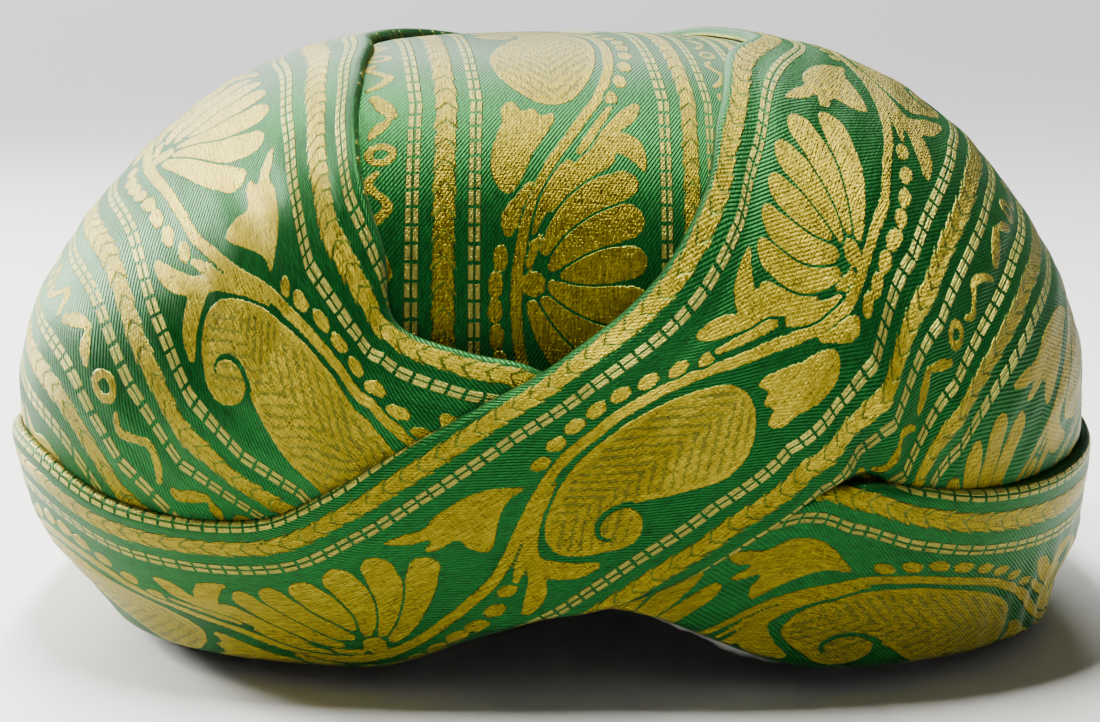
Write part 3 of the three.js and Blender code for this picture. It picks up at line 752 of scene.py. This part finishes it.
CROWN_ACROSS, CROWN_ALONG, CROWN_INSIDE_STEP = 305, 289, 4
SEEN_ACROSS, SEEN_ALONG, SEEN_DENSITY = (-0.5, 0.5), (-0.72, -0.1), 3.2
crown_turn, crown_down = dome_places(
    dense_line(CROWN_ACROSS, *SEEN_ACROSS, SEEN_DENSITY),
    dense_line(CROWN_ALONG, *SEEN_ALONG, SEEN_DENSITY), crown_edge)
crown_out = layer_out(1) - pocket_depth(crown_turn, crown_down) + fullness(crown_turn, crown_down)
crown_roll = rolled((crown_edge(crown_turn) - crown_down) * FORM_LENGTH, WALL)
crown_normal = form_normal(crown_turn, crown_down)
crown_form = form_point(crown_turn, crown_down)
crown_outside = crown_form + crown_normal * (crown_out - WALL * crown_roll)[..., None]
crown_inside = crown_form + crown_normal * (crown_out - WALL)[..., None]
crown_map = crown_pattern(crown_outside)
crown_cloth = wall_piece(
    "crown_cloth", "crown_wrap", crown_outside, crown_inside, CROWN_INSIDE_STEP,
    crown_map, np.stack(draw_cloth(crown_map[..., 0], crown_map[..., 1]), -1))
crown_cloth.data.materials.append(brocade)

# The left wrap: brocade from behind, over the crown and down the left side, with its end tucked
# under the front sweep. Both its long edges are folded under.
# A row of a wrap's table is the turn and down of its inner edge and of its outer edge, or RIM.
RIM = None
LEFT_WRAP = [
    (-184, 0.84, -106, 0.86), (-184, 0.62, -100, 0.86), (-181, 0.43, -94, 0.86), (-168, 0.28, -86, 0.86),
    (-138, 0.2, -77, 0.86), (-104, 0.186, -69, 0.86), (-72, 0.2, -61, 0.87), (-54, 0.227, -54, 0.88),
    (-41.5, 0.3, -47, 0.88), (-34, 0.38, -41, 0.88), (-28, 0.46, -35, 0.87), (-22, 0.54, -29, 0.85),
    (-18.8, 0.61, -22, 0.82), (-10.4, 0.637, -13, 0.79), (-3.2, 0.649, -5, 0.755), (3, 0.675, 3, 0.72),
]


def between(column, position):
    """A smooth value between table rows, where a row at the rim gives nan"""
    values = np.array([np.nan if v is None else v for v in column], float)
    index = np.clip(np.floor(position).astype(int), 0, len(values) - 2)
    share = position - index
    at = lambda i: values[np.clip(i, 0, len(values) - 1)]
    a, b, c, d = at(index - 1), at(index), at(index + 1), at(index + 2)
    a = np.where(np.isnan(a), b, a)
    d = np.where(np.isnan(d), c, d)
    slope_in, slope_out = (c - a) / 2, (d - b) / 2
    s2, s3 = share ** 2, share ** 3
    return ((2 * s3 - 3 * s2 + 1) * b + (s3 - 2 * s2 + share) * slope_in
            + (3 * s2 - 2 * s3) * c + (s3 - s2) * slope_out)


def wrap_edges(rows, position):
    """The turn and down of a wrap's inner and outer edges at a row position"""
    columns = list(zip(*rows))
    inner_turn, inner_down = between(columns[0], position), between(columns[1], position)
    outer_turn, outer_down = between(columns[2], position), between(columns[3], position)
    outer_down = np.where(np.isnan(outer_down), rim_down(outer_turn), outer_down)
    return inner_turn, inner_down, outer_turn, outer_down


def wrap_place(rows, position, share):
    """The turn and down of a place at a row position and a share of the way across"""
    inner_turn, inner_down, outer_turn, outer_down = wrap_edges(rows, position)
    return (inner_turn + (outer_turn - inner_turn) * share,
            inner_down + (outer_down - inner_down) * share)


DRAPE_REACH, DRAPE_CLEAR = 18.0, 2.5
FOLD_RADIUS, HEM_DEPTH, HEM_WIDTH = 2.2, 0.8, 9.0
UPPER_LINE, LOWER_LINE = 8.0, 30.0
STRIPES = (-4.7, 0.0, 4.7, 35.7, 40.4, 45.1)


def even_positions(rows, spacing, step):
    """Positions along a wrap whose spacing follows a table of millimetres, one for each row"""
    fine = np.linspace(0, len(rows) - 1, 40 * (len(rows) - 1) + 1)
    turn, down = wrap_place(rows, fine, 0.4)
    lengths = np.linalg.norm(np.diff(form_point(turn, down), axis=0), axis=1)
    weight = lengths / np.interp((fine[1:] + fine[:-1]) / 2, np.arange(len(rows)), spacing)
    total = np.concatenate([[0], np.cumsum(weight)])
    count = int(np.ceil(total[-1] / step)) * step
    return np.interp(np.linspace(0, total[-1], count + 1), total, fine)


def spread_shares(count):
    """Shares across a wrap, closer together at its two folds"""
    share = np.linspace(0, 1, count)
    return 0.7 * share + 0.3 * (1 - np.cos(np.pi * share)) / 2


def outline_of(rows, first_row=0):
    """The places round a wrap's edge, from one of its rows to its last"""
    position = np.linspace(first_row, len(rows) - 1, 6 * (len(rows) - 1 - first_row) + 1)
    share = np.linspace(0, 1, 9)
    sides = [(position[:1], share), (position, np.ones(1)),
             (position[-1:], share[::-1]), (position[::-1], np.zeros(1))]
    turn = np.concatenate([np.broadcast_arrays(*wrap_place(rows, p, s))[0] for p, s in sides])
    down = np.concatenate([np.broadcast_arrays(*wrap_place(rows, p, s))[1] for p, s in sides])
    return turn, down


def on_map(turn, down):
    """The form seen from above, spread flat, with the crown in the middle"""
    angle = np.radians(turn)
    return down * np.sin(angle), -down * np.cos(angle)


def covered_by(outline, turn, down):
    """1 where a wrap lies below a place, easing to 0 a little way outside its outline"""
    x, y = on_map(turn, down)
    spot = form_point(turn, down)
    corner_x, corner_y = on_map(*outline)
    corner = form_point(*outline)
    inside = np.zeros(x.shape, bool)
    nearest = np.full(x.shape, np.inf)
    for i in range(len(corner_x)):
        j = i - 1
        crosses = (corner_y[i] > y) != (corner_y[j] > y)
        rise = corner_y[j] - corner_y[i]
        at = (corner_x[j] - corner_x[i]) * (y - corner_y[i]) / (rise if rise else 1e-9) + corner_x[i]
        inside ^= crosses & (x < at)
        edge = corner[j] - corner[i]
        length = max(float(edge @ edge), 1e-9)
        share = np.clip(((spot - corner[i]) @ edge) / length, 0, 1)
        foot = corner[i] + share[..., None] * edge
        nearest = np.minimum(nearest, np.linalg.norm(spot - foot, axis=-1))
    return np.where(inside, 1.0, ease(nearest, DRAPE_REACH, DRAPE_CLEAR))


def over_grid(turn, down, function, every=3):
    """A slow function worked out at every third place and read in between"""
    rows, columns = turn.shape
    row_at = np.unique(np.append(np.arange(0, rows, every), rows - 1))
    column_at = np.unique(np.append(np.arange(0, columns, every), columns - 1))
    coarse = function(turn[np.ix_(row_at, column_at)], down[np.ix_(row_at, column_at)])
    part = np.stack([np.interp(np.arange(columns), column_at, line) for line in coarse])
    return np.stack([np.interp(np.arange(rows), row_at, line) for line in part.T], -1)


def lengths_of(surface):
    """How far each place is from the four sides of a grid, measured on the cloth"""
    across = np.linalg.norm(np.diff(surface, axis=1), axis=-1)
    along = np.linalg.norm(np.diff(surface, axis=0), axis=-1)
    from_inner = np.concatenate([np.zeros((len(surface), 1)), np.cumsum(across, 1)], 1)
    from_start = np.concatenate([np.zeros((1, surface.shape[1])), np.cumsum(along, 0)], 0)
    return from_inner, from_inner[:, -1:] - from_inner, from_start, from_start[-1:] - from_start


SOFT_FOLD, SOFT_FOLD_SPACING, SOFT_FOLD_DRIFT = 0.24, 15.0, 130.0
SOFT_FOLD_SPAN = (2, 11)


def soft_folds(along, across, from_edge, start):
    """Shallow lengthwise waves left by the pull on the cloth"""
    drift = np.sin(2 * np.pi * along / SOFT_FOLD_DRIFT + start)
    wide = np.sin(2 * np.pi * across / SOFT_FOLD_SPACING + 1.4 * drift + start)
    narrow = np.sin(2 * np.pi * (across - 0.12 * along) / (0.43 * SOFT_FOLD_SPACING) + 2 * start)
    return SOFT_FOLD * (0.65 * wide + 0.35 * narrow) * ease(from_edge, *SOFT_FOLD_SPAN)


def lay_wrap(name, node, rows, spacing, columns, step, guide, out_of):
    """A wrap laid along its table, with its pattern placed by its guide and its edges folded"""
    position = even_positions(rows, spacing, step)
    share = spread_shares(columns)
    turn, down = wrap_place(rows, position[:, None], share[None, :])
    surface = form_point(turn, down)
    from_inner, from_outer, from_start, from_end = lengths_of(surface)
    index = np.arange(len(rows))
    line = [np.interp(position, index, column) for column in zip(*guide)]
    across = np.stack([reached(from_inner[i], [stop[i] for stop in line[2:]], STRIPES)
                       for i in range(len(position))])
    lower = np.clip((across - UPPER_LINE) / (LOWER_LINE - UPPER_LINE), -0.6, 2.4)
    along = line[0][:, None] + (line[1] - line[0])[:, None] * lower
    from_edge = np.minimum(np.minimum(from_inner, from_outer), np.minimum(from_start, from_end))
    wall = WALL + HEM_DEPTH * ease(from_edge, HEM_WIDTH, HEM_WIDTH / 3)
    out = out_of(turn, down, along, across) + fullness(turn, down)
    out += soft_folds(along, across, from_edge, len(rows))
    normal = form_normal(turn, down)
    outside = surface + normal * (out - wall * rolled(from_edge, FOLD_RADIUS))[..., None]
    inside = surface + normal * (out - wall)[..., None]
    piece = wall_piece(name, node, outside, inside, step, np.stack([along, across], -1),
                       np.stack(draw_cloth(along, across), -1))
    piece.data.materials.append(brocade)
    return piece


LEFT_SPACING = (2.6, 2.6, 2.4, 2.2, 1.6, 1.1, 0.85, 0.8, 0.75, 0.7, 0.7, 0.7, 0.7, 0.8, 1.0, 1.2)
# a row of a guide is how far along the cloth its upper and lower lines are, and then how far from the
# inner fold its six stripes lie
LEFT_GUIDE = [
    (317, 297, 5, 12.5, 20.7, 64, 71, 78), (295, 275, 5, 12.5, 20.7, 64, 71, 78),
    (273, 253, 5, 12.5, 20.7, 64, 71, 78), (248, 228, 5, 12.5, 20.7, 64, 71, 78),
    (213, 193, 5, 12.5, 20.7, 64, 71, 78), (180, 160, 5, 12.5, 20.7, 64, 71, 78),
    (148, 128, 5, 12.5, 20.7, 64, 71, 78), (126, 108, 5, 12.5, 20.7, 64, 71, 78),
    (106, 91, 5, 12.5, 20.7, 64.8, 71.4, 78.6), (86, 75.5, 5, 12.5, 20.6, 63.2, 70.3, 75.8),
    (67.3, 60.5, 5, 12.5, 20.6, 57.2, 62.4, 66), (55.2, 48, 3, 9, 15.6, 47.5, 52, 56),
    (45.8, 39, -2.2, 2.6, 7.4, 41, 45, 49), (32, 26, -1.8, 3, 7.8, 40, 45, 50),
    (21, 15, -1.8, 3, 7.8, 38, 43, 48), (11, 5, -1.8, 3, 7.8, 38, 43, 48),
]


def left_out(turn, down, along, across):
    """It lies flat on the crown cloth, all of it in one layer"""
    return np.full(turn.shape, layer_out(2))


LEFT_COLUMNS, LEFT_STEP = 217, 6
left_wrap = lay_wrap("left_wrap_cloth", "left_wrap", LEFT_WRAP, LEFT_SPACING,
                     LEFT_COLUMNS, LEFT_STEP, LEFT_GUIDE, left_out)

# The front sweep: the cloth's next turn, spread over the right of the crown, gathered to a band that
# crosses the front down to the lower left, and carried low round the left side to the back.
FRONT_SWEEP = [
    (184, 0.84, 106, 0.86), (184, 0.62, 98, 0.86), (181, 0.43, 90, 0.86), (168, 0.28, 81, 0.86),
    (138, 0.19, 71, 0.86), (105, 0.17, 61, 0.86), (65, 0.2, 52, 0.85), (41, 0.25, 44, 0.83),
    (27.5, 0.366, 38.5, 0.797), (21, 0.468, 34, 0.765), (12.5, 0.566, 29.5, 0.777), (0.8, 0.646, 22.9, 0.828),
    (-8.2, 0.688, 13.5, 0.883), (-16.8, 0.731, 3, 0.915), (-24.2, 0.776, -10, RIM), (-32.7, 0.815, -25, RIM),
    (-46.8, 0.814, -43, RIM), (-62.7, 0.774, -62, RIM), (-90, 0.785, -90, RIM), (-120, 0.77, -120, RIM),
    (-148, 0.755, -148, RIM), (-172, 0.74, -172, RIM),
]
# the low band's rows, which the sweep needs because it lies over the band's end in front
LOW_BAND = [
    (203, 0.72, 203, RIM), (180, 0.72, 180, RIM), (150, 0.725, 150, RIM), (120, 0.74, 120, RIM),
    (95, 0.76, 95, RIM), (78, 0.773, 78, RIM), (65.5, 0.78, 65.5, RIM), (55, 0.79, 56, RIM),
    (46, 0.79, 48, RIM), (38.8, 0.779, 40, RIM), (33, 0.769, 32, RIM), (28, 0.785, 24, RIM),
    (19, 0.83, 16, RIM), (8, 0.865, 7, RIM), (-1, 0.885, -2, RIM),
]
SWEEP_SPACING = (2.8, 2.8, 2.6, 2.2, 1.7, 1.2, 0.9, 0.8, 0.75, 0.72, 0.72, 0.72, 0.72, 0.75, 0.8, 0.85,
                 0.95, 1.2, 1.8, 2.6, 3.0, 3.0)
SWEEP_GUIDE = [
    (-221, -211, -1, 5, 11, 48, 54, 60), (-199, -189, -1, 5, 11, 48, 54, 60),
    (-177, -167, -1, 5, 11, 48, 54, 60), (-152, -142, -1, 5, 11, 48, 54, 60),
    (-118, -108, -1, 5, 11, 48, 54, 60), (-87, -77, -1, 5, 11, 48, 54, 60),
    (-50, -40, -1, 5, 11.5, 50, 57, 63), (-20, -11.4, -2, 5.3, 13.3, 60, 67.5, 73.3),
    (2.3, 9, -2, 5.4, 13.3, 58.3, 65, 70), (19.4, 19.8, -3, 3.9, 10.8, 47.3, 51.8, 56.3),
    (32.3, 33.4, -2.2, 3.3, 8.8, 39.2, 43.7, 48.7), (54, 54, -1.7, 2.8, 7.35, 38.1, 42.6, 48),
    (72.2, 72.2, -1.1, 3.5, 8.1, 39.3, 44, 49), (89, 89, -0.6, 4.5, 9.3, 41.5, 46, 51),
    (106.1, 106.1, 0.4, 4.7, 9.5, 41.5, 46, 51), (125.9, 125.9, 0.6, 4.9, 9.4, 42, 46.5, 51),
    (155, 155, 0.6, 4.9, 9.6, 42, 46.5, 51), (186, 186, 0.6, 5, 9.7, 42, 47, 52),
    (233, 233, 0.6, 5, 9.7, 42, 47, 52), (286, 286, 0.6, 5, 9.7, 42, 47, 52),
    (339, 339, 0.6, 5, 9.7, 42, 47, 52), (384, 384, 0.6, 5, 9.7, 42, 47, 52),
]
CROSSING_FROM, CROSSING_TO = 30.0, 34.5
BAND_FRONT_ROW = 9
left_outline = outline_of(LEFT_WRAP)
band_front_outline = outline_of(LOW_BAND, BAND_FRONT_ROW)


def sweep_layer(turn, down):
    """2 where it lies on the crown cloth, and 3 over the left wrap or the low band's end"""
    over_band = covered_by(band_front_outline, turn, down) * ease(turn, CROSSING_TO, CROSSING_FROM)
    return 2 + np.maximum(covered_by(left_outline, turn, down), over_band)


GROOVE_ACROSS, GROOVE_HALF_WIDTH, GROOVE_DEPTH = 53.5, 2.6, 0.95
GROOVE_FROM, GROOVE_TO = (26, 40), (84, 66)


def sweep_out(turn, down, along, across):
    """Its layer, with the groove left where the right-hand side is drawn in towards the crossing"""
    groove = GROOVE_DEPTH * np.exp(-((across - GROOVE_ACROSS) / GROOVE_HALF_WIDTH) ** 2)
    groove = groove * ease(turn, *GROOVE_FROM) * ease(turn, *GROOVE_TO)
    return layer_out(over_grid(turn, down, sweep_layer)) - groove


SWEEP_COLUMNS, SWEEP_STEP = 169, 6
front_sweep = lay_wrap("front_sweep_cloth", "front_sweep", FRONT_SWEEP, SWEEP_SPACING,
                       SWEEP_COLUMNS, SWEEP_STEP, SWEEP_GUIDE, sweep_out)

# The low band: the last turn of the same cloth, lapped over the end of the front sweep behind, drawn
# low round the right side, and tucked under the lower fold of the front sweep in front.
BAND_SPACING = (3.0, 3.0, 3.0, 2.4, 1.5, 1.0, 0.8, 0.7, 0.65, 0.6, 0.6, 0.6, 0.7, 0.8, 1.0)
BAND_GUIDE = [
    (-251, -257, 2, 8, 14, 46, 52, 58), (-205, -211, 2, 8, 14, 46, 52, 58),
    (-145, -151, 2, 8, 14, 46, 52, 58), (-86, -92, 2, 8, 14, 46, 52, 58),
    (-39, -45, 2, 8, 14, 46, 52, 58), (-8, -14, 2, 8, 14, 46, 52, 58),
    (15, 10, 2, 7.5, 13.2, 45, 50, 55), (34, 29, 1.6, 6.6, 12.5, 44, 49, 54),
    (52.5, 46, 1.1, 5.9, 11.6, 42, 47, 52), (66.3, 60.3, 0.2, 4.8, 10.8, 41.5, 46, 51),
    (79.5, 72.5, -2.2, 2.8, 8.7, 41, 45, 50), (92, 83.5, -6, -1.5, 3.7, 37, 41, 45),
    (107, 98, -10, -5, 0, 34, 38, 43), (122, 113, -12, -7, -2, 32, 36, 41),
    (137, 128, -14, -9, -4, 30, 34, 39),
]
sweep_outline = outline_of(FRONT_SWEEP)


def band_layer(turn, down):
    """2 where it lies on the crown cloth, and one more over the sweep's fan and its end behind"""
    over_sweep = covered_by(sweep_outline, turn, down) * ease(turn, CROSSING_FROM, CROSSING_TO)
    return 2 + over_sweep * (sweep_layer(turn, down) - 1)


PUCKER_SPACING, PUCKER_HEIGHT = 7.5, 0.32
PUCKER_LOW, PUCKER_FROM, PUCKER_TO = (0.83, 0.95), (44, 62), (100, 80)


def band_out(turn, down, along, across):
    """Its layer, with small puckers low on the right, where it turns the corner"""
    puckers = PUCKER_HEIGHT * np.sin(2 * np.pi * (along + 0.5 * across) / PUCKER_SPACING)
    puckers = puckers * ease(down, *PUCKER_LOW) * ease(turn, *PUCKER_FROM) * ease(turn, *PUCKER_TO)
    return layer_out(over_grid(turn, down, band_layer)) + puckers


BAND_COLUMNS, BAND_STEP = 85, 4
low_band = lay_wrap("low_band_cloth", "low_band", LOW_BAND, BAND_SPACING,
                    BAND_COLUMNS, BAND_STEP, BAND_GUIDE, band_out)
